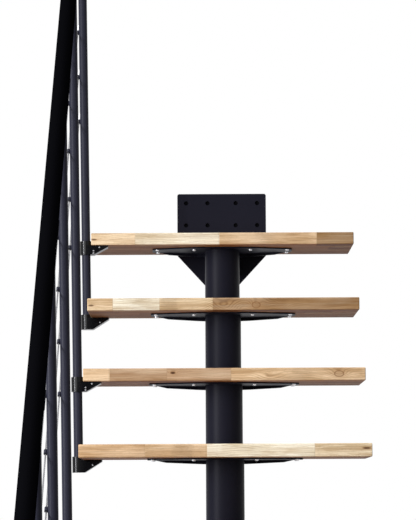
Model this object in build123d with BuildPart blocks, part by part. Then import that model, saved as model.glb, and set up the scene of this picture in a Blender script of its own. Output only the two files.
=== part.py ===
from build123d import *
import math
import os

# Straight open stair on one central spine. Millimetres, +Z up.
# The flight climbs towards +Y, the railing stands on the -X side, and the origin is the
# centre of the floor flange's underside.

# Driving dimensions: the flight
tread_count = 12
rise = 210
going = 214
tread_width = 760
tread_depth = 258
tread_thickness = 35
tread_edge_radius = 4
tread_end_chamfer = 1.5

# Driving dimensions: the spine
spine_diameter = 101.6
spine_wall = 4
carrier_span = 410
carrier_sheet = 4
carrier_root_depth = 150
carrier_root_span = 150
carrier_tip_depth = 72
carrier_tip_radius = 16
carrier_flange_root = 14
carrier_flange_knee = 10
carrier_pad_length = 20
carrier_ramp_length = 28
link_height = 60
link_wall = 4
link_top = 6
locator_height = 25
locator_bar = 8
bolt_hole_diameter = 13

# Driving dimensions: floor flange and wall plate
floor_flange_diameter = 190
floor_flange_thickness = 10
floor_bolt_circle = 152
floor_bolt_count = 4
wall_plate_width = 267
wall_plate_thickness = 8
wall_plate_above_tread = 150
wall_plate_below_tread = 127
wall_plate_straight_below = 37
wall_bolt_outer = 214
wall_bolt_inner = 85
wall_bolt_row = 67
wall_bolt_top_margin = 28
wall_plate_corner_radius = 6
wall_gap = 5

# Driving dimensions: the railing
post_diameter = 25
post_wall = 2
post_lean = 0.8
rail_height = 1100
rail_diameter = 42.4
rail_wall = 2.5
rail_lower_run = 150
rail_upper_run = 190
wire_diameter = 4
wire_spacing = 132
wire_count = 6
wire_stand_off = 3
eye_diameter = 9.2
eye_length = 12
stop_diameter = 7
stop_length = 30
clamp_wall = 4.5
clamp_height = 40
clamp_above_seat = 13
clamp_arm_shoulder = 24
cup_height = 43
cup_above_seat = 9
cup_arm_shoulder = 18
clamp_arm_length = 64
clamp_arm_tip = 5
clamp_arm_width = 36
clamp_arm_radius = 6
clamp_floor = 3
saddle_length = 64
saddle_sheet = 3
saddle_neck_diameter = 18
saddle_stand_off = 26

# Clearances
slip_clearance = 0.3
post_clearance = 1
clamp_clearance = 0.15

# Worked-out places
spine_radius = spine_diameter / 2
spine_bore = spine_radius - spine_wall
locator_reach = math.sqrt((spine_bore - slip_clearance) ** 2 - (locator_bar / 2) ** 2)
post_radius = post_diameter / 2
rail_radius = rail_diameter / 2
wire_radius = wire_diameter / 2
tread_overlap = tread_depth - going
bay_count = tread_count // 2
lean_slope = math.tan(math.radians(post_lean))
post_axis = Vector(-math.sin(math.radians(post_lean)), 0, math.cos(math.radians(post_lean)))
pitch = math.atan2(rise, going)
rail_axis = Vector(0, math.cos(pitch), math.sin(pitch))
wall_face_y = (tread_count - 1) * going + tread_depth / 2 + wall_gap

os.makedirs("parts", exist_ok=True)


def seat_level(number):
    """Level of a tread's underside."""
    return number * rise - tread_thickness


def axis_y(number):
    """Place of a module's tube along the flight."""
    return (number - 1) * going


def nosing_y(number):
    """Front edge of a tread."""
    return axis_y(number) - tread_depth / 2


def post_y(bay):
    """A post stands where the bay's upper tread overlaps its lower one."""
    return nosing_y(2 * bay) + tread_overlap / 2


def rail_level(y):
    """Level of the handrail's axis, measured above the line of nosings."""
    return rise + (y - nosing_y(1)) * rise / going + rail_height


# The posts lean outwards in one plane, which meets the handrail's axis.
post_foot_x = -tread_width / 2 - post_clearance - post_radius
rail_x = post_foot_x - (rail_level(post_y(1)) - rise) * lean_slope


def post_head(bay):
    """Level where a post ends below the handrail."""
    return rail_level(post_y(bay)) - rail_radius / math.cos(pitch) - saddle_stand_off


def is_cup(number):
    """The lower clamp of a bay is a cup that the post stands in."""
    return number % 2 == 1


def clamp_head(number):
    """Level of a post clamp's upper face."""
    return seat_level(number) + (cup_above_seat if is_cup(number) else clamp_above_seat)


def clamp_foot(number):
    """Level of a post clamp's underside."""
    return clamp_head(number) - (cup_height if is_cup(number) else clamp_height)


def post_x(bay, level):
    """Place of a post's axis across the stair at one level."""
    return rail_x + (rail_level(post_y(bay)) - level) * lean_slope


def post_plane(bay, level):
    """Plane square to a post's axis, with the axis through its origin."""
    origin = (post_x(bay, level), post_y(bay), level)
    return Plane(origin=origin, x_dir=(0, 1, 0), z_dir=post_axis)


def rail_plane(y):
    """Plane square to the handrail, with the rail's axis through its origin."""
    return Plane(origin=(rail_x, y, rail_level(y)), x_dir=(1, 0, 0), z_dir=rail_axis)


def wire_plane(y, wire):
    """Plane square to a wire, which runs parallel to the rail past the posts' outer side."""
    drop = wire * wire_spacing
    outboard = (post_radius + wire_stand_off) / math.cos(math.radians(post_lean))
    origin = (rail_x + drop * lean_slope - outboard, y, rail_level(y) - drop)
    return Plane(origin=origin, x_dir=(1, 0, 0), z_dir=rail_axis)


# Treads: one board each, its long edges rounded and its ends eased
for number in range(1, tread_count + 1):
    with BuildPart() as tread:
        with BuildSketch(Plane.YZ):
            with Locations((axis_y(number), seat_level(number) + tread_thickness / 2)):
                RectangleRounded(tread_depth, tread_thickness, tread_edge_radius)
        extrude(amount=tread_width / 2, both=True)
        chamfer(tread.faces().filter_by(Axis.X).edges(), length=tread_end_chamfer)
    tread.part.label = f"tread_{number:02d}"
    export_step(tread.part, f"parts/{tread.part.label}.step")

# Spine modules: flanged carrier, tube down to the module below, link back to the next tube
for number in range(1, tread_count + 1):
    seat = seat_level(number)
    middle = axis_y(number)
    tube_top = seat - carrier_sheet
    tube_foot = floor_flange_thickness if number == 1 else tube_top - rise
    is_top = number == tread_count
    link_end = wall_face_y if is_top else middle + going
    with BuildPart() as module:
        # carrier blank
        with BuildSketch(Plane((0, middle, seat))) as carrier_plan:
            with BuildLine():
                Polyline(
                    (carrier_root_span / 2, carrier_root_depth / 2),
                    (carrier_span / 2, carrier_tip_depth / 2),
                    (carrier_span / 2, 0),
                )
                mirror(about=Plane.XZ)
                mirror(about=Plane.YZ)
                Line(
                    (-carrier_root_span / 2, carrier_root_depth / 2),
                    (carrier_root_span / 2, carrier_root_depth / 2),
                )
                Line(
                    (-carrier_root_span / 2, -carrier_root_depth / 2),
                    (carrier_root_span / 2, -carrier_root_depth / 2),
                )
            make_face()
            tips = carrier_plan.vertices().filter_by(lambda corner: abs(corner.X) > carrier_root_span)
            fillet(tips, radius=carrier_tip_radius)
        extrude(amount=-carrier_flange_root)
        # the rear flange deepens towards the tube, and the tips stay bare sheet
        with BuildSketch(Plane.XZ.offset(-middle)):
            with BuildLine():
                Polyline(
                    (spine_radius, seat - carrier_flange_root),
                    (carrier_span / 2 - carrier_pad_length - carrier_ramp_length, seat - carrier_flange_knee),
                    (carrier_span / 2 - carrier_pad_length, tube_top),
                    (carrier_span / 2, tube_top),
                    (carrier_span / 2, seat - carrier_flange_root),
                    close=True,
                )
            make_face()
            mirror(about=Plane.YZ)
        extrude(amount=carrier_root_depth, both=True, mode=Mode.SUBTRACT)
        # open underside, flanged at the rear edge only
        with BuildSketch(Plane((0, middle, tube_top))):
            add(carrier_plan.sketch_local)
            offset(amount=-carrier_sheet, mode=Mode.REPLACE)
            with Locations((0, -carrier_root_depth / 2)):
                Rectangle(carrier_span, carrier_root_depth)
        extrude(amount=-carrier_flange_root, mode=Mode.SUBTRACT)
        # link, open underneath
        with BuildSketch(Plane((0, middle, tube_top))) as link_plan:
            Circle(spine_radius)
            with Locations((0, (link_end - middle) / 2)):
                Rectangle(spine_diameter, link_end - middle)
            if not is_top:
                with Locations((0, link_end - middle)):
                    Circle(spine_radius)
        extrude(amount=-link_height)
        with BuildSketch(Plane((0, middle, tube_top - link_top))):
            add(link_plan.sketch_local)
            offset(amount=-link_wall, mode=Mode.REPLACE)
        extrude(amount=-link_height, mode=Mode.SUBTRACT)
        if not is_top:
            # crossed bars that centre the next tube
            with BuildSketch(Plane((0, link_end, tube_top))):
                Rectangle(2 * locator_reach, locator_bar)
                Rectangle(locator_bar, 2 * locator_reach)
            extrude(amount=locator_height)
        # tube
        with BuildSketch(Plane((0, middle, tube_top))):
            Circle(spine_radius)
        extrude(amount=tube_foot - tube_top)
        with BuildSketch(Plane((0, middle, tube_top))):
            Circle(spine_bore)
        extrude(amount=tube_foot - tube_top, mode=Mode.SUBTRACT)
    module.part.label = f"spine_module_{number:02d}"
    export_step(module.part, f"parts/{module.part.label}.step")

# Floor flange: bolted disc that centres the lowest tube
with BuildPart() as floor_flange:
    with BuildSketch():
        Circle(floor_flange_diameter / 2)
    extrude(amount=floor_flange_thickness)
    chamfer(floor_flange.faces().sort_by(Axis.Z)[-1].edges(), length=2)
    with BuildSketch(Plane.XY.offset(floor_flange_thickness)):
        Rectangle(2 * locator_reach, locator_bar)
        Rectangle(locator_bar, 2 * locator_reach)
    extrude(amount=locator_height)
    with BuildSketch():
        with PolarLocations(floor_bolt_circle / 2, floor_bolt_count, start_angle=45):
            Circle(bolt_hole_diameter / 2)
    extrude(amount=floor_flange_thickness, mode=Mode.SUBTRACT)
floor_flange.part.label = "floor_flange"
export_step(floor_flange.part, "parts/floor_flange.step")

# Wall plate: bolted to the edge of the upper floor, tapering down to the spine's width
top_tread_level = tread_count * rise
with BuildPart() as wall_plate:
    with BuildSketch(Plane.XZ.offset(-wall_face_y)) as plate_outline:
        with BuildLine():
            Polyline(
                (wall_plate_width / 2, top_tread_level + wall_plate_above_tread),
                (wall_plate_width / 2, top_tread_level - wall_plate_straight_below),
                (spine_radius, top_tread_level - wall_plate_below_tread),
                (-spine_radius, top_tread_level - wall_plate_below_tread),
                (-wall_plate_width / 2, top_tread_level - wall_plate_straight_below),
                (-wall_plate_width / 2, top_tread_level + wall_plate_above_tread),
                close=True,
            )
        make_face()
        fillet(plate_outline.vertices(), radius=wall_plate_corner_radius)
        bolt_rows = top_tread_level + wall_plate_above_tread - wall_bolt_top_margin - wall_bolt_row / 2
        with Locations((0, bolt_rows)):
            for spread in (wall_bolt_outer, wall_bolt_inner):
                with GridLocations(spread, wall_bolt_row, 2, 2):
                    Circle(bolt_hole_diameter / 2, mode=Mode.SUBTRACT)
    extrude(amount=-wall_plate_thickness)
wall_plate.part.label = "wall_plate"
export_step(wall_plate.part, "parts/wall_plate.step")

# Railing posts, each with a row of eyes on its outer side for the wires
for bay in range(1, bay_count + 1):
    foot_level = clamp_foot(2 * bay - 1) + clamp_floor
    post_length = (post_head(bay) - foot_level) / math.cos(math.radians(post_lean))
    with BuildPart() as post:
        with BuildSketch(post_plane(bay, foot_level)):
            Circle(post_radius)
        extrude(amount=post_length)
        for wire in range(1, wire_count + 1):
            with BuildSketch(wire_plane(post_y(bay), wire)):
                Circle(eye_diameter / 2)
            extrude(amount=eye_length / 2, both=True)
        with BuildSketch(post_plane(bay, foot_level)):
            Circle(post_radius - post_wall)
        extrude(amount=post_length, mode=Mode.SUBTRACT)
        for wire in range(1, wire_count + 1):
            with BuildSketch(wire_plane(post_y(bay), wire)):
                Circle(wire_radius + slip_clearance)
            extrude(amount=eye_length, both=True, mode=Mode.SUBTRACT)
    post.part.label = f"post_{bay}"
    export_step(post.part, f"parts/{post.part.label}.step")

# Post clamps: a ring round the post and an arm screwed under the tread
for bay in range(1, bay_count + 1):
    with BuildPart() as clamps:
        for number in (2 * bay - 1, 2 * bay):
            seat = seat_level(number)
            foot = clamp_foot(number)
            height = clamp_head(number) - foot
            shoulder_reach = cup_arm_shoulder if is_cup(number) else clamp_arm_shoulder
            centre_x = post_x(bay, seat)
            # arm, side profile
            with BuildSketch(Plane.XZ.offset(-post_y(bay))) as arm_side:
                with BuildLine():
                    Polyline(
                        (centre_x, seat),
                        (centre_x + clamp_arm_length, seat),
                        (centre_x + clamp_arm_length, seat - clamp_arm_tip),
                        (centre_x + shoulder_reach, foot),
                        (centre_x, foot),
                        close=True,
                    )
                make_face()
                shoulder = arm_side.vertices().sort_by(Axis.Y)[:2].sort_by(Axis.X)[-1]
                fillet(shoulder, radius=clamp_arm_radius)
            extrude(amount=clamp_arm_width / 2, both=True)
            # ring along the post
            with BuildSketch(post_plane(bay, foot)):
                Circle(post_radius + clamp_wall)
            extrude(amount=height)
            bore_foot = foot + clamp_floor if is_cup(number) else foot - height
            with BuildSketch(post_plane(bay, bore_foot)):
                Circle(post_radius + clamp_clearance)
            extrude(amount=3 * height, mode=Mode.SUBTRACT)
            # flat against the end of the tread
            with BuildSketch(Plane((-tread_width / 2, post_y(bay), seat))):
                with Locations((clamp_arm_width / 2 - slip_clearance, 0)):
                    Rectangle(clamp_arm_width, 2 * clamp_arm_width)
            extrude(amount=height, mode=Mode.SUBTRACT)
    clamps.part.label = f"post_clamps_{bay}"
    export_step(clamps.part, f"parts/{clamps.part.label}.step")

# Handrail tube, parallel to the line of nosings
rail_foot_y = post_y(1) - rail_lower_run
rail_head_y = post_y(bay_count) + rail_upper_run
with BuildPart() as handrail:
    with BuildSketch(rail_plane(rail_foot_y)):
        Circle(rail_radius)
        Circle(rail_radius - rail_wall, mode=Mode.SUBTRACT)
    extrude(amount=(rail_head_y - rail_foot_y) / math.cos(pitch))
handrail.part.label = "handrail"
export_step(handrail.part, "parts/handrail.step")

# End caps of the handrail, each with a plug in the tube
with BuildPart() as rail_caps:
    for end_y, outwards in ((rail_foot_y, -1), (rail_head_y, 1)):
        with BuildSketch(rail_plane(end_y)):
            Circle(rail_radius)
        extrude(amount=outwards * 8)
        with BuildSketch(rail_plane(end_y)):
            Circle(rail_radius - rail_wall - slip_clearance)
        extrude(amount=-outwards * 15)
rail_caps.part.label = "rail_caps"
export_step(rail_caps.part, "parts/rail_caps.step")

# Saddles that carry the handrail on the posts
with BuildPart() as saddles:
    for bay in range(1, bay_count + 1):
        place = post_y(bay)
        with BuildSketch(post_plane(bay, post_head(bay))):
            Circle(post_radius)
        extrude(amount=4)
        with BuildSketch(post_plane(bay, post_head(bay))):
            Circle(saddle_neck_diameter / 2)
        extrude(amount=saddle_stand_off + rail_radius)
        with BuildSketch(post_plane(bay, post_head(bay))):
            Circle(post_radius - post_wall - slip_clearance)
        extrude(amount=-20)
        with BuildSketch(rail_plane(place)):
            Circle(rail_radius + slip_clearance + saddle_sheet)
            with Locations((0, -rail_radius)):
                Rectangle(3 * rail_radius, 3 * rail_radius, mode=Mode.SUBTRACT)
        extrude(amount=saddle_length / 2, both=True)
        with BuildSketch(rail_plane(place)):
            Circle(rail_radius + slip_clearance)
        extrude(amount=saddle_length, both=True, mode=Mode.SUBTRACT)
saddles.part.label = "rail_saddles"
export_step(saddles.part, "parts/rail_saddles.step")

# Wire ropes, taut between the outer faces of the end posts' eyes
eye_reach_y = eye_length / 2 * math.cos(pitch)
wire_length = (post_y(bay_count) - post_y(1)) / math.cos(pitch) + eye_length
with BuildPart() as wire_ropes:
    for wire in range(1, wire_count + 1):
        with BuildSketch(wire_plane(post_y(1) - eye_reach_y, wire)):
            Circle(wire_radius)
        extrude(amount=wire_length)
wire_ropes.part.label = "wire_ropes"
export_step(wire_ropes.part, "parts/wire_ropes.step")

# Stops pressed on the wires' ends, bearing on the end posts' eyes
with BuildPart() as wire_stops:
    for bay, outwards in ((1, -1), (bay_count, 1)):
        for wire in range(1, wire_count + 1):
            with BuildSketch(wire_plane(post_y(bay) + outwards * eye_reach_y, wire)):
                Circle(stop_diameter / 2)
            extrude(amount=outwards * stop_length)
wire_stops.part.label = "wire_stops"
export_step(wire_stops.part, "parts/wire_stops.step")
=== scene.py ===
# %% [markdown]
# # A straight stair on one spine: finishing it in Blender
#
# The packed model is the frame of this scene: every tread, tube, post and wire is already in
# its place and at its real size. This notebook only adds what the eye needs: procedural
# materials, screw heads, dark discs of painted shade in the wall plate's holes, the lay of the
# wire ropes, a floor, lights and a camera.
#
# Blender works in metres here. The stair climbs towards +Y, the railing stands at -X, and Z
# is up, with the floor at zero.

# %% Load the frame
import math

import bmesh
import bpy
from mathutils import Matrix, Vector


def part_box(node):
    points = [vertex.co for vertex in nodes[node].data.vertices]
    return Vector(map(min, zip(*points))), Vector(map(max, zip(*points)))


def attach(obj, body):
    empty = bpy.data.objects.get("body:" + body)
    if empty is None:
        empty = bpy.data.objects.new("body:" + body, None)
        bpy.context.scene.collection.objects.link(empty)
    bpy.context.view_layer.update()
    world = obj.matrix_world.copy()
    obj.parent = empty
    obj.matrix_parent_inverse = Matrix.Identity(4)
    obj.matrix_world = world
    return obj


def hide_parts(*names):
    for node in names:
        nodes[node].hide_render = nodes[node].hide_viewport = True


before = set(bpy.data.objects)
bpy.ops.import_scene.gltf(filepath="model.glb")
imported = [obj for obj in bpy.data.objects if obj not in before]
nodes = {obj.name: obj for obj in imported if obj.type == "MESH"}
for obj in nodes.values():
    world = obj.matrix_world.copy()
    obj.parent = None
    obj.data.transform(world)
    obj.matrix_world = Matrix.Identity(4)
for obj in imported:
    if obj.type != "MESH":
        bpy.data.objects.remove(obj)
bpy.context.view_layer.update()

# %% [markdown]
# ## Sizes read from the frame
#
# A stair is one step repeated, so the rise, the going and the board all come from the boxes
# of the first two treads. They could be typed in again, but read like this, the screws and
# the wood pattern follow the CAD if it changes.

# %% Measure the first two treads
first_low, first_high = (Vector(corner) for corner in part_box("tread_01"))
second_low, second_high = (Vector(corner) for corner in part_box("tread_02"))
tread_count = sum(name.startswith("tread_") for name in nodes)
bay_count = sum(name.startswith("post_clamps_") for name in nodes)
rise = second_high.z - first_high.z
going = second_low.y - first_low.y
tread_width = first_high.x - first_low.x
tread_thickness = first_high.z - first_low.z
print(f"{tread_count} treads in {bay_count} bays, rise {rise:.3f}, going {going:.3f}")

# %% [markdown]
# ## Small tools for shader trees
#
# A shader tree reads better as a formula than as a list of links. `NodeDesk` keeps one tree
# and turns numbers and sockets into nodes, so `desk.math("MULTIPLY", a, 2)` is one line. The
# nodes could also be placed by hand in the editor, but then nothing could be read or changed
# here.

# %% A desk for one shader tree


class NodeDesk:
    """Adds nodes to one tree. Values may be numbers, tuples or sockets."""

    def __init__(self, tree):
        self.tree = tree

    def node(self, kind, **settings):
        made = self.tree.nodes.new(kind)
        for key, value in settings.items():
            setattr(made, key, value)
        return made

    def feed(self, socket, value):
        if isinstance(value, bpy.types.NodeSocket):
            self.tree.links.new(value, socket)
        else:
            socket.default_value = value

    def math(self, operation, a, b=0.0, c=0.0):
        made = self.node("ShaderNodeMath", operation=operation)
        for socket, value in zip(made.inputs, (a, b, c)):
            self.feed(socket, value)
        return made.outputs[0]

    def vector(self, operation, a, b=(0.0, 0.0, 0.0)):
        made = self.node("ShaderNodeVectorMath", operation=operation)
        self.feed(made.inputs[0], a)
        self.feed(made.inputs[1], b)
        return made.outputs[0]

    def combine(self, x, y, z):
        made = self.node("ShaderNodeCombineXYZ")
        for socket, value in zip(made.inputs, (x, y, z)):
            self.feed(socket, value)
        return made.outputs[0]

    def remap(self, value, low, high, to_low=0.0, to_high=1.0):
        made = self.node("ShaderNodeMapRange", interpolation_type="SMOOTHSTEP")
        for socket, given in zip(made.inputs, (value, low, high, to_low, to_high)):
            self.feed(socket, given)
        return made.outputs[0]

    def mix(self, factor, a, b, blend="MIX"):
        made = self.node("ShaderNodeMix", data_type="RGBA", blend_type=blend)
        self.feed(made.inputs["Factor"], factor)
        self.feed(made.inputs[6], a)
        self.feed(made.inputs[7], b)
        return made.outputs[2]

    def noise(self, vector, scale, detail=2.0, roughness=0.5):
        made = self.node("ShaderNodeTexNoise")
        self.feed(made.inputs["Vector"], vector)
        self.feed(made.inputs["Scale"], scale)
        self.feed(made.inputs["Detail"], detail)
        self.feed(made.inputs["Roughness"], roughness)
        return made.outputs["Fac"]


print("shader formulas:", [name for name in vars(NodeDesk) if not name.startswith("_")])

# %% [markdown]
# Two more helpers start a node group and a material. A group is a shader effect with named
# sockets that several materials can share, each with its own values. Shaders stay in the
# material itself, because only what they are fed with is shared.

# %% Start a group or a material
FLOAT, VECTOR, COLOR = "NodeSocketFloat", "NodeSocketVector", "NodeSocketColor"


def opaque(red, green, blue):
    """A colour with full alpha, as colour sockets want it."""
    return (red, green, blue, 1.0)


def new_group(name, inputs, outputs):
    """A node group with named sockets; returns its desk and its two end nodes."""
    tree = bpy.data.node_groups.new(name, "ShaderNodeTree")
    for label, kind, default in inputs:
        socket = tree.interface.new_socket(label, in_out="INPUT", socket_type=kind)
        if default is not None:
            socket.default_value = default
    for label, kind in outputs:
        tree.interface.new_socket(label, in_out="OUTPUT", socket_type=kind)
    desk = NodeDesk(tree)
    return desk, desk.node("NodeGroupInput"), desk.node("NodeGroupOutput")


def new_material(name):
    """An empty node material with its desk, Principled node and object coordinates."""
    material = bpy.data.materials.new(name)
    material.use_nodes = True
    desk = NodeDesk(material.node_tree)
    shader = material.node_tree.nodes["Principled BSDF"]
    place = desk.node("ShaderNodeTexCoord").outputs["Object"]
    return material, desk, shader, place


print("helpers for groups and materials ready")

# %% [markdown]
# ## Wood: where a point lies in the boards
#
# The treads are glued from strips of hardwood, and each strip from short staves. Every stave
# could be modelled as a piece of its own, but a pattern keeps each tread one board. All
# twelve treads share one material, so the pattern has to work out for itself which stave a
# point is in. The tread's number comes from the height, because a tread is thinner than the
# rise, and the depth behind the tread's front edge is then cut into strips.

# %% Find the tread and the strip
strip_width = 0.0435
edge_slack = 0.0005
margin_under_tread = 0.005
row_step_per_tread = 17.31
row_step_per_strip = 5.77

desk, source, result = new_group(
    "Stave finder",
    [("Position", VECTOR, None)],
    [
        ("Dice", COLOR), ("Along", FLOAT), ("Depth", FLOAT), ("Height", FLOAT),
        ("Row", FLOAT), ("Tread", FLOAT), ("Front", FLOAT), ("Glue line", FLOAT),
    ],
)
axes = desk.node("ShaderNodeSeparateXYZ")
desk.feed(axes.inputs[0], source.outputs["Position"])
x, y, z = axes.outputs
raised = desk.math("ADD", z, tread_thickness + margin_under_tread)
number = desk.math("FLOOR", desk.math("DIVIDE", raised, rise))
front_edge = desk.math("MULTIPLY_ADD", number, going, first_low.y - going)
depth = desk.math("SUBTRACT", y, front_edge)
height = desk.math("SUBTRACT", z, desk.math("MULTIPLY", number, rise))
strip = desk.math("FLOOR", desk.math("DIVIDE", desk.math("ADD", depth, edge_slack), strip_width))
front = desk.math("LESS_THAN", depth, strip_width - edge_slack)
strip_part = desk.math("MULTIPLY", strip, row_step_per_strip)
row = desk.math("MULTIPLY_ADD", number, row_step_per_tread, strip_part)
print("tread and strip:", len(desk.tree.nodes), "nodes, strips of", strip_width)

# %% [markdown]
# A one-dimensional Voronoi cuts each strip into staves of uneven length. The random colour
# of its cells later serves as three dice: tone, tilt and turn. The staves meet in small
# fingers, so the cut zigzags with the depth.

# %% Cut the strips into staves
stave_length = 0.21
stave_unevenness = 0.75
finger_depth = 0.006
finger_pitch = 0.0055

finger = desk.math("PINGPONG", depth, finger_pitch)
cut_x = desk.math("MULTIPLY_ADD", finger, finger_depth / finger_pitch, x)
along = desk.math("MULTIPLY_ADD", cut_x, 1.0 / stave_length, row)
stave = desk.node("ShaderNodeTexVoronoi", voronoi_dimensions="1D", feature="F1")
edge = desk.node("ShaderNodeTexVoronoi", voronoi_dimensions="1D", feature="DISTANCE_TO_EDGE")
for texture in (stave, edge):
    desk.feed(texture.inputs["W"], along)
    desk.feed(texture.inputs["Scale"], 1.0)
    desk.feed(texture.inputs["Randomness"], stave_unevenness)
dice = stave.outputs["Color"]
butt_gap = desk.math("MULTIPLY", edge.outputs["Distance"], stave_length)
print("staves about", stave_length, "long")

# %% [markdown]
# The front edges of the upper four treads are the ones seen best, so their joints and tones
# are named values. A stepped colour ramp holds them: its stops are the joints, and its red,
# green and blue replace the dice.

# %% Name the staves of four front edges
# tread: joints along the front edge, then tone, tilt and turn of each stave
front_staves = {
    12: (
        (-0.2533, -0.0110, 0.2717),
        ((0.72, 0.30, 0.50), (0.96, 0.62, 0.35), (0.58, 0.45, 0.60), (0.02, 0.70, 0.42)),
    ),
    11: (
        (-0.3098, -0.1788, -0.0311),
        ((0.72, 0.55, 0.40), (1.00, 0.35, 0.62), (0.74, 0.52, 0.45), (0.05, 0.66, 0.30)),
    ),
    10: (
        (-0.3108, -0.1546, 0.0178),
        ((0.60, 0.42, 0.55), (0.16, 0.60, 0.52), (0.22, 0.38, 0.40), (0.60, 0.58, 0.35)),
    ),
    9: (
        (-0.2100, -0.0502, 0.2308),
        ((0.44, 0.50, 0.50), (0.62, 0.40, 0.48), (1.00, 0.64, 0.62), (0.84, 0.44, 0.40)),
    ),
}
same_number = 0.1
far_from_joint = 1.0

for tread_number, (joints, staves_here) in front_staves.items():
    this_tread = desk.math("COMPARE", number, float(tread_number), same_number)
    here = desk.math("MULTIPLY", front, this_tread)
    ramp = desk.node("ShaderNodeValToRGB")
    stops = ramp.color_ramp.elements
    ramp.color_ramp.interpolation = "CONSTANT"
    stops.remove(stops[1])
    stops[0].color = opaque(*staves_here[0])
    gap = far_from_joint
    for joint, values in zip(joints, staves_here[1:]):
        stops.new((joint + tread_width / 2) / tread_width).color = opaque(*values)
        to_joint = desk.math("ABSOLUTE", desk.math("SUBTRACT", x, joint))
        gap = desk.math("MINIMUM", gap, to_joint)
    desk.feed(ramp.inputs[0], desk.math("MULTIPLY_ADD", x, 1.0 / tread_width, 0.5))
    dice = desk.mix(here, dice, ramp.outputs[0])
    butt_gap = desk.mix(here, butt_gap, gap)
print("named front edges on treads", list(front_staves))

# %% [markdown]
# Glue shows as a hairline, fainter where two staves butt than where two strips meet. Both
# lines come from the distance to the nearest joint. The strips' line fades out over the first
# few millimetres, because the board's own front edge isn't a joint.

# %% Draw the glue lines
butt_line_strength = 0.7
butt_line_edges = (0.0002, 0.0007)
strip_line_edges = (0.0001, 0.0005)
front_fade = (0.004, 0.008)

butt_line = desk.remap(butt_gap, *butt_line_edges, butt_line_strength, 0.0)
strip_gap = desk.math("PINGPONG", depth, strip_width / 2)
strip_line = desk.remap(strip_gap, *strip_line_edges, 1.0, 0.0)
strip_line = desk.math("MULTIPLY", strip_line, desk.remap(depth, *front_fade))
glue_line = desk.math("MAXIMUM", butt_line, strip_line)
for label, value in (
    ("Dice", dice), ("Along", x), ("Depth", depth), ("Height", height), ("Row", row),
    ("Tread", number), ("Front", front), ("Glue line", glue_line),
):
    desk.feed(result.inputs[label], value)
stave_finder = desk.tree
print("stave finder:", len(stave_finder.nodes), "nodes")

# %% [markdown]
# ### Knots
#
# A knot is a branch that the board was cut through. The grain flows round it in rings, its
# core is darker, and a warm halo surrounds it. Painting dark spots would leave the grain
# straight, so each named knot adds a smooth swelling to the distance that the growth rings
# are drawn from, which bends them into loops.

# %% Name the knots
# tread, place along, drop below the top, half length, half height, swelling, core
knots = (
    (12, -0.3716, 0.019, 0.0070, 0.0020, 0.004, 0.80),
    (11, -0.3694, 0.020, 0.0060, 0.0022, 0.004, 0.80),
    (11, 0.0916, 0.0205, 0.0100, 0.0075, 0.020, 0.10),
    (11, 0.0040, 0.0340, 0.0210, 0.0140, 0.030, 0.00),
    (11, 0.1400, 0.0180, 0.0150, 0.0220, 0.022, 0.00),
    (10, -0.1384, 0.0130, 0.0060, 0.0030, 0.010, 0.95),
    (10, 0.3086, 0.0170, 0.0110, 0.0070, 0.014, 0.10),
    (10, 0.1250, 0.0290, 0.0200, 0.0060, 0.012, 0.00),
    (9, 0.3654, 0.0130, 0.0090, 0.0022, 0.006, 0.85),
)
bell_steepness = -0.22
core_edges = (0.5, 1.2)
rim_place = 1.25
rim_width = 0.6
rim_strength = 0.75

desk, source, result = new_group(
    "Knots",
    [
        ("Along", FLOAT, 0.0), ("Depth", FLOAT, 0.0), ("Height", FLOAT, 0.0),
        ("Tread", FLOAT, 0.0), ("Front", FLOAT, 0.0),
    ],
    [("Swelling", FLOAT), ("Core", FLOAT), ("Halo", FLOAT), ("Rim", FLOAT)],
)
given = source.outputs
swelling, core, halo, rim = 0.0, 0.0, 0.0, 0.0
for tread_number, place_x, drop, half_length, half_height, swell, dark in knots:
    this_tread = desk.math("COMPARE", given["Tread"], float(tread_number), same_number)
    here = desk.math("MULTIPLY", given["Front"], this_tread)
    flat = desk.math("DIVIDE", desk.math("SUBTRACT", given["Along"], place_x), half_length)
    tall = desk.math("DIVIDE", desk.math("ADD", given["Height"], drop), half_height)
    square = desk.math("ADD", desk.math("MULTIPLY", flat, flat), desk.math("MULTIPLY", tall, tall))
    fall = desk.math("EXPONENT", desk.math("MULTIPLY", square, bell_steepness))
    bell = desk.math("MULTIPLY", here, fall)
    swelling = desk.math("MULTIPLY_ADD", bell, swell, swelling)
    if dark:
        inner = desk.math("MULTIPLY", here, desk.remap(square, *core_edges, dark, 0.0))
        core = desk.math("MAXIMUM", core, inner)
        from_rim = desk.math("ABSOLUTE", desk.math("SUBTRACT", square, rim_place))
        ring = desk.math("MULTIPLY", here, desk.remap(from_rim, 0.0, rim_width, rim_strength, 0.0))
        rim = desk.math("MAXIMUM", rim, ring)
        halo = desk.math("MAXIMUM", halo, bell)
print("knots:", len(knots), "named")

# %% [markdown]
# Behind the front strips nothing is named, and a sparse Voronoi scatters a few knots there.
# Its first random number decides which of its cells hold one.

# %% Scatter the other knots
cells_along, cells_deep, cells_per_tread = 5.0, 9.0, 3.7
knot_lot = 0.74
knot_reach = 0.30
knot_core_edges = (0.02, 0.05)
knot_core_strength = 0.85
knot_swelling = 0.014
knot_halo_strength = 0.6

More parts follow.
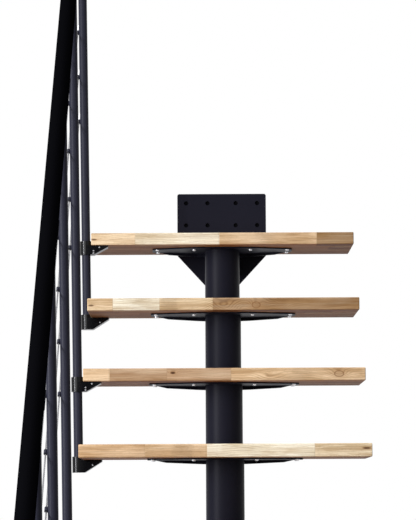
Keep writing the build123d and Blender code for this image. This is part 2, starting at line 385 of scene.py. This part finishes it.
scatter = desk.node("ShaderNodeTexVoronoi", feature="F1")
spot = desk.combine(
    desk.math("MULTIPLY", given["Along"], cells_along),
    desk.math("MULTIPLY", given["Depth"], cells_deep),
    desk.math("MULTIPLY", given["Tread"], cells_per_tread),
)
desk.feed(scatter.inputs["Vector"], spot)
desk.feed(scatter.inputs["Scale"], 1.0)
lot = desk.node("ShaderNodeSeparateColor")
desk.feed(lot.inputs[0], scatter.outputs["Color"])
drawn = desk.math("GREATER_THAN", lot.outputs[0], knot_lot)
wild = desk.math("MULTIPLY", drawn, desk.math("SUBTRACT", 1.0, given["Front"]))
away = scatter.outputs["Distance"]
wild_bell = desk.math("MULTIPLY", wild, desk.remap(away, 0.0, knot_reach, 1.0, 0.0))
wild_core = desk.math("MULTIPLY", wild, desk.remap(away, *knot_core_edges, knot_core_strength, 0.0))
swelling = desk.math("MULTIPLY_ADD", wild_bell, knot_swelling, swelling)
core = desk.math("MAXIMUM", core, wild_core)
halo = desk.math("MAXIMUM", halo, desk.math("MULTIPLY", wild_bell, knot_halo_strength))
for label, value in (("Swelling", swelling), ("Core", core), ("Halo", halo), ("Rim", rim)):
    desk.feed(result.inputs[label], value)
knot_field = desk.tree
print("knot field:", len(knot_field.nodes), "nodes")

# %% [markdown]
# ### Growth rings
#
# Growth rings are cylinders about the log's axis, and a sawn stave shows the slice it happens
# to take. Straight stripes would look printed. The pattern instead measures the distance from
# an axis that the dice place, bends it with slow noise and the knots, and draws one band per
# ring.

# %% Measure the distance from the log's axis
ring_spacing = 0.0046
ring_sharpness = 2.2
drift_reach = 0.030
log_spread_y, log_start_y = 0.24, -0.12
log_spread_z, log_start_z = -0.14, -0.03
slope_spread, slope_start = 0.06, -0.03
seed_of_row, seed_of_tone, seed_of_tilt = 3.1, 41.0, 23.0

# name: cycles a metre along the stave and across it, detail, roughness
wood_noises = {
    "drift": (4.5, 16.0, 3.0, 0.55),
    "fibre": (16.0, 620.0, 4.0, 0.62),
    "streak": (3.5, 150.0, 3.0, 0.55),
    "pore": (110.0, 1700.0, 1.0, 0.5),
    "cloud": (6.0, 30.0, 2.0, 0.5),
    "figure": (7.0, 62.0, 2.5, 0.6),
}

desk, source, result = new_group(
    "Hardwood grain",
    [("Position", VECTOR, None), ("Ring contrast", FLOAT, 0.4), ("Fibre contrast", FLOAT, 0.3)],
    [("Color", COLOR), ("Relief", FLOAT), ("Roughness", FLOAT)],
)
found = desk.node("ShaderNodeGroup", node_tree=stave_finder)
desk.feed(found.inputs["Position"], source.outputs["Position"])
dice = desk.node("ShaderNodeSeparateColor")
desk.feed(dice.inputs[0], found.outputs["Dice"])
tone, tilt, turn = dice.outputs
x, depth, height, row = (found.outputs[label] for label in ("Along", "Depth", "Height", "Row"))
knotty = desk.node("ShaderNodeGroup", node_tree=knot_field)
for label in ("Along", "Depth", "Height", "Tread", "Front"):
    desk.feed(knotty.inputs[label], found.outputs[label])
seed = desk.combine(
    desk.math("MULTIPLY", row, seed_of_row),
    desk.math("MULTIPLY", tone, seed_of_tone),
    desk.math("MULTIPLY", tilt, seed_of_tilt),
)


def wood_noise(name):
    """A noise stretched along the stave, with a seed of the stave's own."""
    along_scale, across_scale, detail, roughness = wood_noises[name]
    stretched = desk.combine(
        desk.math("MULTIPLY", x, along_scale),
        desk.math("MULTIPLY", depth, across_scale),
        desk.math("MULTIPLY", height, across_scale),
    )
    return desk.noise(desk.vector("ADD", stretched, seed), 1.0, detail, roughness)


drift = desk.math("SUBTRACT", wood_noise("drift"), 0.5)
log_y = desk.math("SUBTRACT", depth, desk.math("MULTIPLY_ADD", tilt, log_spread_y, log_start_y))
log_z = desk.math("SUBTRACT", height, desk.math("MULTIPLY_ADD", turn, log_spread_z, log_start_z))
square = desk.math("ADD", desk.math("MULTIPLY", log_y, log_y), desk.math("MULTIPLY", log_z, log_z))
radius = desk.math("MULTIPLY_ADD", drift, drift_reach, desk.math("SQRT", square))
slope = desk.math("MULTIPLY_ADD", turn, slope_spread, slope_start)
radius = desk.math("MULTIPLY_ADD", x, slope, radius)
radius = desk.math("ADD", radius, knotty.outputs["Swelling"])
wave = desk.math("SINE", desk.math("MULTIPLY", radius, math.tau / ring_spacing))
ring = desk.math("POWER", desk.math("MULTIPLY_ADD", wave, 0.5, 0.5), ring_sharpness)
print("a growth ring every", ring_spacing)

# %% [markdown]
# ### Fibre, pores and tone
#
# Fine fibre, streaks, pores and clouds are noises drawn out along the stave. The first die
# picks the stave's tone from a ramp of six, from a dark honey brown to a pale cream. The
# rings darken that tone by multiplying it, so they show on dark staves too.

# %% Tone each stave and draw its rings
honey_to_cream = (
    (0.20, opaque(0.470, 0.300, 0.175)),
    (0.42, opaque(0.640, 0.420, 0.230)),
    (0.62, opaque(0.740, 0.520, 0.305)),
    (0.80, opaque(0.810, 0.640, 0.405)),
)
darkest_tone, palest_tone = opaque(0.290, 0.160, 0.058), opaque(0.880, 0.800, 0.610)
ring_tint = opaque(0.46, 0.36, 0.26)
knot_pull_edges = (0.001, 0.010)
knot_pull_strength = 0.42

# name: where in its noise a layer starts and is full, and its greatest share
layer_fades = {
    "brown streaks": (0.42, 0.78, 0.42),
    "cream streaks": (0.46, 0.20, 0.22),
    "paler figure": (0.51, 0.56, 0.75),
    "darker figure": (0.45, 0.39, 0.80),
    "fibre": (0.40, 0.75, 1.0),
    "clouds": (0.35, 0.75, 0.25),
    "pores": (0.62, 0.72, 1.0),
}


def fade(value, name):
    """How much of a layer shows at a value of its noise."""
    start, full, share = layer_fades[name]
    return desk.remap(value, start, full, 0.0, share)


fibre = wood_noise("fibre")
streak = wood_noise("streak")
pore = fade(wood_noise("pore"), "pores")
cloud = wood_noise("cloud")
figure = wood_noise("figure")
tones = desk.node("ShaderNodeValToRGB")
tones.color_ramp.elements[0].color = darkest_tone
tones.color_ramp.elements[1].color = palest_tone
for position, stave_color in honey_to_cream:
    tones.color_ramp.elements.new(position).color = stave_color
desk.feed(tones.inputs[0], tone)
knot_pull = desk.remap(knotty.outputs["Swelling"], *knot_pull_edges, 0.0, knot_pull_strength)
ring_share = desk.math("ADD", source.outputs["Ring contrast"], knot_pull)
ring_share = desk.math("MULTIPLY", ring, ring_share)
ring_tone = desk.mix(1.0, tones.outputs[0], ring_tint, "MULTIPLY")
color = desk.mix(ring_share, tones.outputs[0], ring_tone)
print("tones:", len(tones.color_ramp.elements))

# %% [markdown]
# The layers over the tone go from broad to fine: streaks, the flame figure, fibre, clouds and
# pores. Knots and glue come last, so that nothing paints over them.

# %% Lay the layers over the tone
streak_brown, streak_cream = opaque(0.36, 0.20, 0.09), opaque(0.93, 0.84, 0.64)
paler_tint, darker_tint = opaque(1.22, 1.30, 1.42), opaque(0.80, 0.74, 0.66)
fibre_brown, cloud_honey = opaque(0.30, 0.16, 0.07), opaque(0.88, 0.70, 0.50)
pore_brown, glue_brown = opaque(0.17, 0.08, 0.035), opaque(0.16, 0.085, 0.04)
halo_brown, rim_brown = opaque(0.42, 0.24, 0.11), opaque(0.20, 0.09, 0.035)
core_brown = opaque(0.07, 0.03, 0.015)
pore_share, halo_share, glue_share = 0.35, 0.45, 0.5

color = desk.mix(fade(streak, "brown streaks"), color, streak_brown)
color = desk.mix(fade(streak, "cream streaks"), color, streak_cream)
paler = desk.mix(1.0, color, paler_tint, "MULTIPLY")
darker = desk.mix(1.0, color, darker_tint, "MULTIPLY")
color = desk.mix(fade(figure, "paler figure"), color, paler)
color = desk.mix(fade(figure, "darker figure"), color, darker)
fibre_share = desk.math("MULTIPLY", fade(fibre, "fibre"), source.outputs["Fibre contrast"])
color = desk.mix(fibre_share, color, fibre_brown)
color = desk.mix(fade(cloud, "clouds"), color, cloud_honey)
color = desk.mix(desk.math("MULTIPLY", pore, pore_share), color, pore_brown)
color = desk.mix(desk.math("MULTIPLY", knotty.outputs["Halo"], halo_share), color, halo_brown)
color = desk.mix(knotty.outputs["Rim"], color, rim_brown)
color = desk.mix(knotty.outputs["Core"], color, core_brown)
color = desk.mix(desk.math("MULTIPLY", found.outputs["Glue line"], glue_share), color, glue_brown)
print("grain so far:", len(desk.tree.nodes), "nodes")

# %% [markdown]
# The relief lifts the fibre and the rings a little and sinks the pores and the glue lines.
# The underside of a board gets a painted shade, a darker and browner tint, which sets in over
# the last millimetre above it.

# %% Finish the grain
fibre_lift, pore_sink, ring_lift = 0.4, 0.5, 0.15
# painted shade: the darker, browner tint laid on the undersides of the boards
underside_painted_shade = opaque(0.62, 0.38, 0.26)
underside_shade_edges = (-tread_thickness + 0.0012, -tread_thickness + 0.0002)
fibre_span = (0.2, 0.8)
smoothest_wood, roughest_wood = 0.38, 0.54

relief = desk.math(
    "SUBTRACT", desk.math("MULTIPLY", fibre, fibre_lift), desk.math("MULTIPLY", pore, pore_sink)
)
relief = desk.math("MULTIPLY_ADD", ring, ring_lift, relief)
relief = desk.math("SUBTRACT", relief, found.outputs["Glue line"])
# where the painted shade lies: the last millimetre above the underside
underside_shade_mask = desk.remap(height, *underside_shade_edges, 0.0, 1.0)
color = desk.mix(underside_shade_mask, color, desk.mix(1.0, color, underside_painted_shade, "MULTIPLY"))
desk.feed(result.inputs["Color"], color)
desk.feed(result.inputs["Relief"], relief)
roughness = desk.remap(fibre, *fibre_span, smoothest_wood, roughest_wood)
desk.feed(result.inputs["Roughness"], roughness)
grain = desk.tree
print("grain:", len(grain.nodes), "nodes")

# %% [markdown]
# ### The board's material
#
# The treads have a thin satin lacquer. A clear coat could stand for it, but under a white
# studio it would bleach the wood, so the lacquer is only a low specular level over a
# roughness that follows the fibre.

# %% Make the wood material
wood, desk, shader, place = new_material("Glued hardwood, satin lacquer")
board = desk.node("ShaderNodeGroup", node_tree=grain)
desk.feed(board.inputs["Position"], place)
desk.feed(board.inputs["Ring contrast"], 0.34)
desk.feed(board.inputs["Fibre contrast"], 0.30)
bump = desk.node("ShaderNodeBump")
desk.feed(bump.inputs["Height"], board.outputs["Relief"])
desk.feed(bump.inputs["Strength"], 0.2)
desk.feed(bump.inputs["Distance"], 0.0005)
desk.feed(shader.inputs["Base Color"], board.outputs["Color"])
desk.feed(shader.inputs["Roughness"], board.outputs["Roughness"])
desk.feed(shader.inputs["Normal"], bump.outputs[0])
desk.feed(shader.inputs["Specular IOR Level"], 0.04)
print("material:", wood.name)

# %% [markdown]
# ## Coated metal and moulded plastic
#
# Powder coat has a very fine orange peel and a few tiny specks. One group gives that skin,
# and each coated material sets its own colour, grain and gloss. The specular levels are far
# below the usual half, because a black under an all-white studio would turn grey.

# %% Make the coated skin
peel_detail = 2.0
wide_scale, wide_detail = 6.0, 3.0
speck_edges = (0.62, 0.75)

desk, source, result = new_group(
    "Coated skin",
    [
        ("Position", VECTOR, None), ("Grain per metre", FLOAT, 900.0),
        ("Low roughness", FLOAT, 0.4), ("High roughness", FLOAT, 0.5),
    ],
    [("Height", FLOAT), ("Roughness", FLOAT), ("Speck", FLOAT)],
)
given = source.outputs
peel = desk.noise(given["Position"], given["Grain per metre"], peel_detail)
wide = desk.noise(given["Position"], wide_scale, wide_detail)
span = desk.math("SUBTRACT", given["High roughness"], given["Low roughness"])
roughness = desk.math("MULTIPLY_ADD", span, wide, given["Low roughness"])
desk.feed(result.inputs["Height"], peel)
desk.feed(result.inputs["Roughness"], roughness)
desk.feed(result.inputs["Speck"], desk.remap(peel, *speck_edges))
coated_skin = desk.tree
print("coated skin:", len(coated_skin.nodes), "nodes")

# %% [markdown]
# Each coated material is the same small tree with other values: the skin group feeds the
# roughness and the bump, and its specks are a little paler than the coat.

# %% Make the coated materials
speck_gain = 2.2
speck_share = 0.4
coat_bump_distance = 0.0002


def coated(name, color, grain_per_metre, roughness, relief, specular):
    """A painted or moulded surface made from the coated skin."""
    material, desk, shader, place = new_material(name)
    skin = desk.node("ShaderNodeGroup", node_tree=coated_skin)
    desk.feed(skin.inputs["Position"], place)
    desk.feed(skin.inputs["Grain per metre"], grain_per_metre)
    desk.feed(skin.inputs["Low roughness"], roughness[0])
    desk.feed(skin.inputs["High roughness"], roughness[1])
    bump = desk.node("ShaderNodeBump")
    desk.feed(bump.inputs["Height"], skin.outputs["Height"])
    desk.feed(bump.inputs["Strength"], relief)
    desk.feed(bump.inputs["Distance"], coat_bump_distance)
    paler = opaque(*(min(1.0, speck_gain * channel) for channel in color[:3]))
    speck = desk.math("MULTIPLY", skin.outputs["Speck"], speck_share)
    desk.feed(shader.inputs["Base Color"], desk.mix(speck, color, paler))
    desk.feed(shader.inputs["Roughness"], skin.outputs["Roughness"])
    desk.feed(shader.inputs["Normal"], bump.outputs[0])
    desk.feed(shader.inputs["Specular IOR Level"], specular)
    return material


spine_paint = coated(
    "Near-black fine powder coat", opaque(0.0100, 0.0100, 0.0170),
    grain_per_metre=1400.0, roughness=(0.36, 0.42), relief=0.25, specular=0.045,
)
post_paint = coated(
    "Near-black satin powder coat", opaque(0.0240, 0.0245, 0.0370),
    grain_per_metre=1800.0, roughness=(0.26, 0.34), relief=0.10, specular=0.05,
)
rail_skin = coated(
    "Matte black rail coating", opaque(0.0020, 0.0020, 0.0026),
    grain_per_metre=2600.0, roughness=(0.50, 0.58), relief=0.2, specular=0.0,
)
clamp_plastic = coated(
    "Glossy black moulded plastic", opaque(0.0020, 0.0020, 0.0028),
    grain_per_metre=500.0, roughness=(0.10, 0.14), relief=0.04, specular=0.16,
)
print("coated:", [m.name for m in (spine_paint, post_paint, rail_skin, clamp_plastic)])

# %% [markdown]
# ## Bare metal and shadow
#
# Bare steel has no paint to show, only reflections that soil and wear dull in patches. So a
# noise moves the colour between two greys and the roughness between two values. The inside of
# a hole gets a painted shade: a black with a faint noise that reflects nothing.

# %% Make the bare metals and the dark of a hole
wear_span = (0.3, 0.7)


def bare_metal(name, grain_per_metre, detail, greys, roughness):
    """Steel whose grey and gloss vary with one noise."""
    material, desk, shader, place = new_material(name)
    wear = desk.noise(place, grain_per_metre, detail)
    desk.feed(shader.inputs["Base Color"], desk.mix(wear, *greys))
    desk.feed(shader.inputs["Metallic"], 1.0)
    desk.feed(shader.inputs["Roughness"], desk.remap(wear, *wear_span, *roughness))
    return material


# painted shade: a near-black that stands for the shade inside the wall plate's holes
shadow_black, desk, shader, place = new_material("Painted shade inside a hole")
shade_noise = desk.noise(place, 300.0)
painted_shade_black = desk.mix(shade_noise, opaque(0.002, 0.002, 0.003), opaque(0.006, 0.006, 0.007))
desk.feed(shader.inputs["Base Color"], painted_shade_black)
desk.feed(shader.inputs["Roughness"], 0.9)
desk.feed(shader.inputs["Specular IOR Level"], 0.0)
zinc = bare_metal(
    "Bright zinc-plated steel", grain_per_metre=420.0, detail=3.0,
    greys=(opaque(0.78, 0.79, 0.80), opaque(0.62, 0.62, 0.66)), roughness=(0.22, 0.36),
)
screw_steel = bare_metal(
    "Dull screw steel", grain_per_metre=700.0, detail=2.0,
    greys=(opaque(0.30, 0.30, 0.31), opaque(0.18, 0.18, 0.19)), roughness=(0.32, 0.46),
)
rope_steel = bare_metal(
    "Stranded stainless rope", grain_per_metre=90.0, detail=3.0,
    greys=(opaque(0.26, 0.26, 0.27), opaque(0.15, 0.15, 0.16)), roughness=(0.28, 0.42),
)
print("materials:", [material.name for material in bpy.data.materials])

# %% [markdown]
# ## Dressing the CAD nodes
#
# The CAD pieces have their right shapes, so each node keeps its mesh and only gets a
# material. The start of its name says which one, and a longer start stands before a shorter
# one that it contains.

# %% Give every node its material
finish_of = {
    "tread_": wood,
    "spine_module_": spine_paint,
    "floor_flange": spine_paint,
    "wall_plate": spine_paint,
    "post_clamps_": clamp_plastic,
    "post_": post_paint,
    "handrail": rail_skin,
    "rail_caps": clamp_plastic,
    "rail_saddles": post_paint,
    "wire_ropes": rope_steel,
    "wire_stops": zinc,
}
for name, node in nodes.items():
    start = next(key for key in finish_of if name.startswith(key))
    node.data.materials.clear()
    node.data.materials.append(finish_of[start])
print("dressed", len(nodes), "nodes")

# %% [markdown]
# ## Pieces that only the eye needs
#
# Screws, discs and ropes all start as a bmesh, Blender's editable mesh. One helper turns it
# into an object that rides on the stair's one body, a second copies a small pattern mesh
# into it, and a third shades it. Copying a pattern is much faster than bevelling hundreds of
# heads one by one in a growing mesh.

# %% Helpers for new pieces


def add_piece(name, mesh_data, material, body="root"):
    """Makes an object from a bmesh, with outward normals, and ties it to the stair."""
    bmesh.ops.recalc_face_normals(mesh_data, faces=mesh_data.faces[:])
    mesh = bpy.data.meshes.new(name)
    mesh_data.to_mesh(mesh)
    mesh_data.free()
    mesh.materials.append(material)
    made = bpy.data.objects.new(name, mesh)
    bpy.context.scene.collection.objects.link(made)
    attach(made, body)
    print(f"{name}: {len(mesh.polygons)} faces")
    return made


def stamp(target, pattern, place):
    """Adds a copy of a mesh to a bmesh, moved by a matrix."""
    before = len(target.verts)
    target.from_mesh(pattern)
    target.verts.ensure_lookup_table()
    bmesh.ops.transform(target, matrix=place, verts=target.verts[before:])


def standing(place, outward):
    """The matrix that puts +Z along a direction at a point."""
    return Matrix.Translation(place) @ outward.to_track_quat("Z", "Y").to_matrix().to_4x4()


def smooth(piece, degrees=40.0):
    """Smooth shading that keeps edges sharper than the angle."""
    for polygon in piece.data.polygons:
        polygon.use_smooth = True
    piece.data.set_sharp_from_angle(angle=math.radians(degrees))


print("helpers for pieces ready")

# %% [markdown]
# ### A screw head
#
# A screw head is a short cone with a rounded rim and a round drive recess. A half sphere
# would be quicker, but has no flat crown. Here `create_cone` makes the body, one bevel rounds
# the rim, and an inset pushed inwards makes the recess. The first inset only leaves a flat
# ring round it.

# %% Model one head
head_sides = 20
crown_share = 0.94
rim_share = 0.62
flat_ring_share = 0.22
recess_wall_share = 0.06
recess_depth_share = 0.5


def crown_of(head):
    """The face that lies highest."""
    return max(head.faces, key=lambda face: face.calc_center_median().z)


def screw_pattern(name, radius, tall):
    """A domed screw head on the origin that stands out along +Z."""
    head = bmesh.new()
    bmesh.ops.create_cone(
        head, cap_ends=True, segments=head_sides, radius1=radius, radius2=radius * crown_share,
        depth=tall, matrix=Matrix.Translation((0.0, 0.0, tall / 2)),
    )
    bmesh.ops.bevel(
        head, geom=list(crown_of(head).edges), affect="EDGES", offset=tall * rim_share,
        segments=3, profile=0.5, material=-1,
    )
    crown = crown_of(head)
    bmesh.ops.inset_individual(
        head, faces=[crown], thickness=radius * flat_ring_share, depth=0.0,
    )
    bmesh.ops.inset_individual(
        head, faces=[crown], thickness=radius * recess_wall_share, depth=-tall * recess_depth_share,
    )
    pattern = bpy.data.meshes.new(name)
    head.to_mesh(pattern)
    head.free()
    return pattern


carrier_screw = screw_pattern("carrier_screw", radius=0.0058, tall=0.0034)
clamp_screw = screw_pattern("clamp_screw", radius=0.0027, tall=0.0016)
print("screw heads:", len(carrier_screw.polygons), "faces each")

# %% [markdown]
# ### Carrier screws
#
# Each carrier is screwed to its tread from below: a pair of screws near each tip, and one on
# each side in front near the tube. The heads are stamped on the sheet's underside and look
# down.

# %% Place the carrier screws
carrier_sheet = 0.004
down = Vector((0.0, 0.0, -1.0))
# reach from the tube's axis to the side, and back from it
screw_places = ((0.190, -0.033), (0.190, 0.033), (0.082, -0.035))

heads = bmesh.new()
for number in range(1, tread_count + 1):
    middle_y = (number - 1) * going
    under_sheet = number * rise - tread_thickness - carrier_sheet
    for side in (-1, 1):
        for reach, back in screw_places:
            point = Vector((side * reach, middle_y + back, under_sheet))
            stamp(heads, carrier_screw, standing(point, down))
screws = add_piece("carrier_screws", heads, zinc)
smooth(screws)

# %% [markdown]
# ### Clamp screws
#
# The arms of the post clamps carry small screws on their front side: one near the arm's tip,
# and on the upper clamp of each bay two more by the post.

# %% Place the clamp screws
clamp_arm_half_width = 0.018
forward = Vector((0.0, -1.0, 0.0))
# inboard of the tread's end, and below the tread
upper_clamp_screws = ((0.024, 0.006), (0.007, 0.0160), (0.007, 0.0230))
lower_clamp_screws = ((0.026, 0.014),)

arm_screws = bmesh.new()
for bay in range(1, bay_count + 1):
    low, high = (Vector(corner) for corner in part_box(f"post_clamps_{bay}"))
    front_y = (low.y + high.y) / 2 - clamp_arm_half_width
    for number, places in ((2 * bay, upper_clamp_screws), (2 * bay - 1, lower_clamp_screws)):
        seat = number * rise - tread_thickness
        for inboard, below in places:
            point = Vector((first_low.x + inboard, front_y, seat - below))
            stamp(arm_screws, clamp_screw, standing(point, forward))
clamp_screws = add_piece("clamp_screws", arm_screws, screw_steel)
smooth(clamp_screws)

# %% [markdown]
# ### The wall plate's holes
#
# The plate's holes look dark. Left open they would show the white studio, so a thin dark disc
# of painted shade stands inside each hole, close to the plate's back.

# %% Place the discs
hole_radius = 0.0065
hole_columns = (-0.107, -0.0425, 0.0425, 0.107)
hole_levels = (2.642, 2.575)
shade_disc_sides = 24
shade_disc_thickness = 0.003
shade_disc_inset = 0.0005

plate_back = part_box("wall_plate")[1][1]
face_forward = Matrix.Rotation(math.radians(90.0), 4, "X")
# painted shade: one thin dark disc in each hole of the wall plate
shade_discs = bmesh.new()
for level in hole_levels:
    for column in hole_columns:
        centre = Vector((column, plate_back - shade_disc_thickness / 2 - shade_disc_inset, level))
        bmesh.ops.create_cone(
            shade_discs, cap_ends=True, segments=shade_disc_sides, radius1=hole_radius, radius2=hole_radius,
            depth=shade_disc_thickness, matrix=Matrix.Translation(centre) @ face_forward,
        )
add_piece("hole_shade_discs", shade_discs, shadow_black)

# %% [markdown]
# ### Wire ropes
#
# A wire rope of this kind is six strands laid round a core, and its outline turns as it
# travels. Six separate helices would cost many more faces. Here one lobed outline is spun with a step
# along its axis: `spin` repeats it, turned a little and moved on a little, and bridges the
# copies. One rope is made upright and stamped on each of the CAD's own wires.

# %% Model one rope
strand_count = 6
rope_radius = 0.002
valley_radius = 0.00155
lay_length = 0.042
step_length = 0.0042


def rope_pattern(length):
    """One rope along +Z from the origin: a lobed outline, spun with a step along its axis."""
    rope = bmesh.new()
    steps = round(length / step_length)
    circle = bmesh.ops.create_circle(
        rope, cap_ends=False, segments=2 * strand_count, radius=rope_radius,
    )
    outline = circle["verts"]
    for vert in outline[1::2]:
        vert.co *= valley_radius / rope_radius
    edges = rope.edges[:]
    spun = bmesh.ops.spin(
        rope, geom=outline + edges, cent=(0.0, 0.0, 0.0), axis=(0.0, 0.0, 1.0),
        dvec=(0.0, 0.0, length / steps), angle=math.tau * length / lay_length, steps=steps,
    )
    last = [item for item in spun["geom_last"] if isinstance(item, bmesh.types.BMEdge)]
    bmesh.ops.contextual_create(rope, geom=edges)
    bmesh.ops.contextual_create(rope, geom=last)
    pattern = bpy.data.meshes.new("rope")
    rope.to_mesh(pattern)
    rope.free()
    return pattern


print("rope of", strand_count, "strands, one turn every", lay_length)

# %% [markdown]
# The ropes have to lie exactly where the CAD has its plain bars, so their ends are read from
# that node. Its mesh is a set of loose triangles. A copy is merged, and a walk from vertex to
# vertex then finds each bar.

# %% Lay the ropes on the CAD's wires
merge_distance = 1e-5
rope_crease = 60.0


def bar_ends(node):
    """The middle of both ends of every bar in a node, from its loose pieces."""
    copy = bmesh.new()
    copy.from_mesh(node.data)
    bmesh.ops.remove_doubles(copy, verts=copy.verts[:], dist=merge_distance)
    ends = []
    waiting = set(copy.verts)
    while waiting:
        island = {waiting.pop()}
        to_visit = list(island)
        while to_visit:
            vert = to_visit.pop()
            near = {edge.other_vert(vert) for edge in vert.link_edges} - island
            island |= near
            to_visit.extend(near)
        waiting -= island
        low_y = min(vert.co.y for vert in island)
        high_y = max(vert.co.y for vert in island)
        middle_y = (low_y + high_y) / 2
        low_half = [vert.co for vert in island if vert.co.y < middle_y]
        high_half = [vert.co for vert in island if vert.co.y >= middle_y]
        ends.append([sum(half, Vector()) / len(half) for half in (low_half, high_half)])
    copy.free()
    return ends


wires = bar_ends(nodes["wire_ropes"])
rope = rope_pattern((wires[0][1] - wires[0][0]).length)
ropes = bmesh.new()
for low_end, high_end in wires:
    stamp(ropes, rope, standing(low_end, high_end - low_end))
wire_strands = add_piece("wire_strands", ropes, rope_steel)
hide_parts("wire_ropes")
smooth(wire_strands, rope_crease)

# %% [markdown]
# ## The floor
#
# The floor is a pale sheet that catches the shadow. If it also threw its light up, it would
# bleach the undersides of the treads, which are dark in the photograph. Light Path tells the
# rays apart, so the camera, reflections and anything clear see it pale, and bounced light sees
# it dark.

# %% Lay the floor
floor_half_size = 70.0
floor_level = -0.0005
floor_greys = (opaque(0.80, 0.80, 0.80), opaque(0.84, 0.84, 0.84))
floor_for_bounces = opaque(0.04, 0.04, 0.04)

floor_mesh = bmesh.new()
bmesh.ops.create_grid(
    floor_mesh, x_segments=1, y_segments=1, size=floor_half_size,
    matrix=Matrix.Translation((0.0, 1.0, floor_level)),
)
floor_data = bpy.data.meshes.new("floor")
floor_mesh.to_mesh(floor_data)
floor_mesh.free()
floor = bpy.data.objects.new("floor", floor_data)
bpy.context.scene.collection.objects.link(floor)
floor_paint, desk, shader, place = new_material("Pale floor")
path = desk.node("ShaderNodeLightPath").outputs
seen = desk.math("MAXIMUM", path["Is Camera Ray"], path["Is Transmission Ray"])
seen = desk.math("MAXIMUM", seen, path["Is Glossy Ray"])
pale = desk.mix(desk.noise(place, 3.0), *floor_greys)
desk.feed(shader.inputs["Base Color"], desk.mix(seen, floor_for_bounces, pale))
desk.feed(shader.inputs["Roughness"], 0.85)
floor_data.materials.append(floor_paint)
print("floor half size", floor_half_size)

# %% [markdown]
# ## The world
#
# The background is white, and so is what metal and glass would show of it. Matte surfaces get
# only a weak grey fill from it, so that the lamps shape the object.

# %% Paint the world
white = opaque(1.0, 1.0, 1.0)
weak_fill = opaque(0.22, 0.22, 0.24)

world = bpy.data.worlds.new("Studio")
bpy.context.scene.world = world
world.use_nodes = True
desk = NodeDesk(world.node_tree)
background = world.node_tree.nodes["Background"]
path = desk.node("ShaderNodeLightPath").outputs
seen = desk.math("MAXIMUM", path["Is Camera Ray"], path["Is Transmission Ray"])
seen = desk.math("MAXIMUM", seen, path["Is Glossy Ray"])
desk.feed(background.inputs["Color"], desk.mix(seen, weak_fill, white))
desk.feed(background.inputs["Strength"], 1.0)
print("world:", world.name)

# %% [markdown]
# ## The lamps
#
# A tall soft box and a thin strip stand at the left. The strip gives the tubes their narrow
# streak. A wide box in front lights the edges of the boards, and a broad sun overhead lights
# the floor evenly, which a lamp close above it could not do.

# %% Set the lamps
cool = (0.96, 0.97, 1.0)
neutral = (1.0, 1.0, 1.0)
sky_strength = 1.7
sky_spread = math.radians(50.0)


def soft_box(name, place, aim, size, power, tint):
    """A rectangular area light aimed at a point."""
    data = bpy.data.lights.new(name, "AREA")
    data.shape = "RECTANGLE"
    data.size, data.size_y = size
    data.energy = power
    data.color = tint
    made = bpy.data.objects.new(name, data)
    made.location = place
    made.rotation_euler = (aim - place).to_track_quat("-Z", "Y").to_euler()
    bpy.context.scene.collection.objects.link(made)


middle = Vector((0.0, 2.0, 1.9))
key_place = middle + Vector((-4.2, -3.4, 1.3))
strip_place = middle + Vector((-4.3, -3.2, 0.6))
front_place = middle + Vector((-2.4, -5.6, 1.6))
soft_box("key", key_place, middle, size=(2.4, 3.6), power=300.0, tint=cool)
soft_box("strip", strip_place, middle, size=(0.10, 2.0), power=75.0, tint=cool)
soft_box("front", front_place, middle, size=(3.0, 3.0), power=90.0, tint=neutral)
sky_data = bpy.data.lights.new("sky", "SUN")
sky_data.energy = sky_strength
sky_data.angle = sky_spread
sky = bpy.data.objects.new("sky", sky_data)
bpy.context.scene.collection.objects.link(sky)
print("lamps:", [light.name for light in bpy.data.lights])

# %% [markdown]
# ## The camera
#
# The camera stands at a person's eye height and looks up a little, with the long lens that
# fits the photograph. Its place, tilt, yaw and roll come from fitting a pinhole camera to the
# treads and the railing. The rest of the framing is a shift, because more tilt would make the
# posts converge.

# %% Set the camera
camera_place = Vector((-0.049, -4.201, 1.716))
camera_tilt = math.radians(4.963)
camera_yaw = math.radians(0.055)
camera_roll = math.radians(-0.278)
photo_height = 520.0
focal_pixels = 2235.0
sensor_size = 36.0
frame_shift = 0.11

camera_data = bpy.data.cameras.new("camera")
camera_data.sensor_width = sensor_size
camera_data.lens = focal_pixels / photo_height * sensor_size
camera_data.shift_y = frame_shift
camera = bpy.data.objects.new("camera", camera_data)
camera.location = camera_place
turn = Matrix.Rotation(-camera_yaw, 3, "Z")
nod = Matrix.Rotation(math.radians(90.0) + camera_tilt, 3, "X")
lean = Matrix.Rotation(camera_roll, 3, "Z")
camera.rotation_euler = (turn @ nod @ lean).to_euler()
bpy.context.scene.collection.objects.link(camera)
bpy.context.scene.camera = camera
bpy.context.scene.view_settings.view_transform = "Standard"
print("camera lens", round(camera_data.lens, 1), "at", tuple(camera.location))

# %% [markdown]
# ## Finish
#
